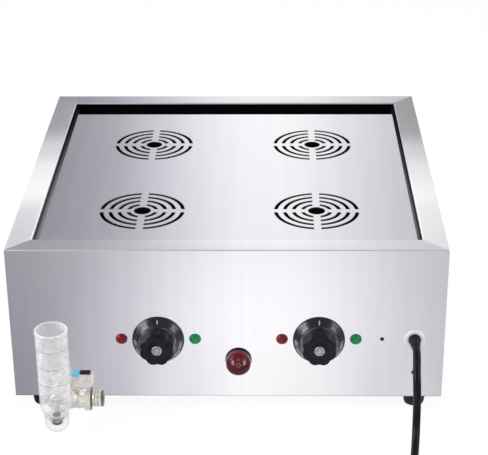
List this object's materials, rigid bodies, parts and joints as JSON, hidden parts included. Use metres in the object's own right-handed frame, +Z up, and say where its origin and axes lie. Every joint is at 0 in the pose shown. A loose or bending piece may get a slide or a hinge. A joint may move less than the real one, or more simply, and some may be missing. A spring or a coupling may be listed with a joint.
{
  "type": "electric dumpling steamer",
  "caption": "Low stainless cabinet with a recessed slotted steam deck, dial controls, a clear filling cup with a drain valve, and a coiled mains lead.",
  "frame": {"origin": "on the worktop, under the middle of the whole steamer without its mains lead", "axes": "+Z up, +Y from the control panel at the front towards the back, +X to the right as seen from the front"},
  "size_m": [0.55, 0.8414, 0.23],
  "materials": {
    "brushed_stainless": "brushed stainless steel sheet, satin",
    "tank_stainless": "plain rolled stainless steel sheet",
    "zinc_steel": "zinc plated steel",
    "nickel_plate": "warm bright nickel plate on brass",
    "silver_disc": "plain satin disc",
    "copper_tube": "drawn copper tube",
    "heater_sheath": "heat-tinted metal sheath",
    "black_plastic": "glossy moulded thermoset",
    "black_rubber": "moulded rubber",
    "black_silicone": "matt silicone strip",
    "seal_silicone": "pale silicone gasket",
    "black_cable": "smooth round cable sheath",
    "red_lens": "red lens",
    "green_lens": "green lens",
    "red_boot": "see-through red boot",
    "red_rocker": "red rocker",
    "white_nylon": "white moulded nylon",
    "blue_plastic": "blue cap",
    "clear_plastic": "clear moulded plastic",
    "white_ceramic": "off-white moulded housing"
  },
  "bodies": {
    "cabinet": {"front_panel": "brushed_stainless", "back_panel": "brushed_stainless", "left_side_panel": "brushed_stainless", "right_side_panel": "brushed_stainless", "water_tank": "tank_stainless", "base_tray": "zinc_steel", "tank_rail_left": "zinc_steel", "tank_rail_right": "zinc_steel", "terminal_bracket": "zinc_steel", "heater_flange_left": "nickel_plate", "heater_flange_right": "nickel_plate", "outlet_pipe": "nickel_plate", "pipe_locknut": "nickel_plate", "tee_fitting": "nickel_plate", "valve_body": "nickel_plate", "capillary_left": "copper_tube", "capillary_right": "copper_tube", "heater_left": "heater_sheath", "heater_right": "heater_sheath", "switch_bezel": "black_plastic", "bracket_screw_upper": "black_plastic", "bracket_screw_lower": "black_plastic", "plug": "black_plastic", "foot_front_left": "black_rubber", "foot_front_right": "black_rubber", "foot_back_left": "black_rubber", "foot_back_right": "black_rubber", "strain_relief": "black_rubber", "cup_stopper": "black_rubber", "recess_band": "black_silicone", "deck_seal": "seal_silicone", "cord": "black_cable", "cord_coil": "black_cable", "supply_lead": "black_cable", "red_lamp_left": "red_lens", "red_lamp_right": "red_lens", "green_lamp_left": "green_lens", "green_lamp_right": "green_lens", "switch_boot": "red_boot", "gland_ring": "white_nylon", "level_cup": "clear_plastic", "cup_cap": "clear_plastic", "thermostat_left": "white_ceramic", "thermostat_right": "white_ceramic", "thermal_cutout": "white_ceramic", "terminal_block": "white_ceramic"},
    "deck": {"deck_plate": "brushed_stainless"},
    "knob_left": {"knob_left": "black_plastic", "knob_disc_left": "silver_disc", "spindle_left": "zinc_steel"},
    "knob_right": {"knob_right": "black_plastic", "knob_disc_right": "silver_disc", "spindle_right": "zinc_steel"},
    "rocker": {"switch_rocker": "red_rocker"},
    "valve_lever": {"valve_ball": "nickel_plate", "valve_handle": "nickel_plate", "handle_cap": "blue_plastic"}
  },
  "joints": [
    {"name": "deck_lift", "type": "slide", "parent": "cabinet", "child": "deck", "axis": [0, 0, 1], "range_m": [0, 0.15]},
    {"name": "left_dial_turn", "type": "hinge", "parent": "cabinet", "child": "knob_left", "pos_m": [-0.0875, -0.22375, 0.105], "axis": [0, 1, 0], "range_deg": [0, 270]},
    {"name": "right_dial_turn", "type": "hinge", "parent": "cabinet", "child": "knob_right", "pos_m": [0.116, -0.22375, 0.105], "axis": [0, 1, 0], "range_deg": [0, 270]},
    {"name": "switch_rock", "type": "hinge", "parent": "cabinet", "child": "rocker", "pos_m": [0.014, -0.22275, 0.0755], "axis": [-1, 0, 0], "range_deg": [0, 18]},
    {"name": "valve_turn", "type": "hinge", "parent": "cabinet", "child": "valve_lever", "pos_m": [-0.1855, -0.26275, 0.0402], "axis": [0, 0, -1], "range_deg": [0, 90]}
  ]
}
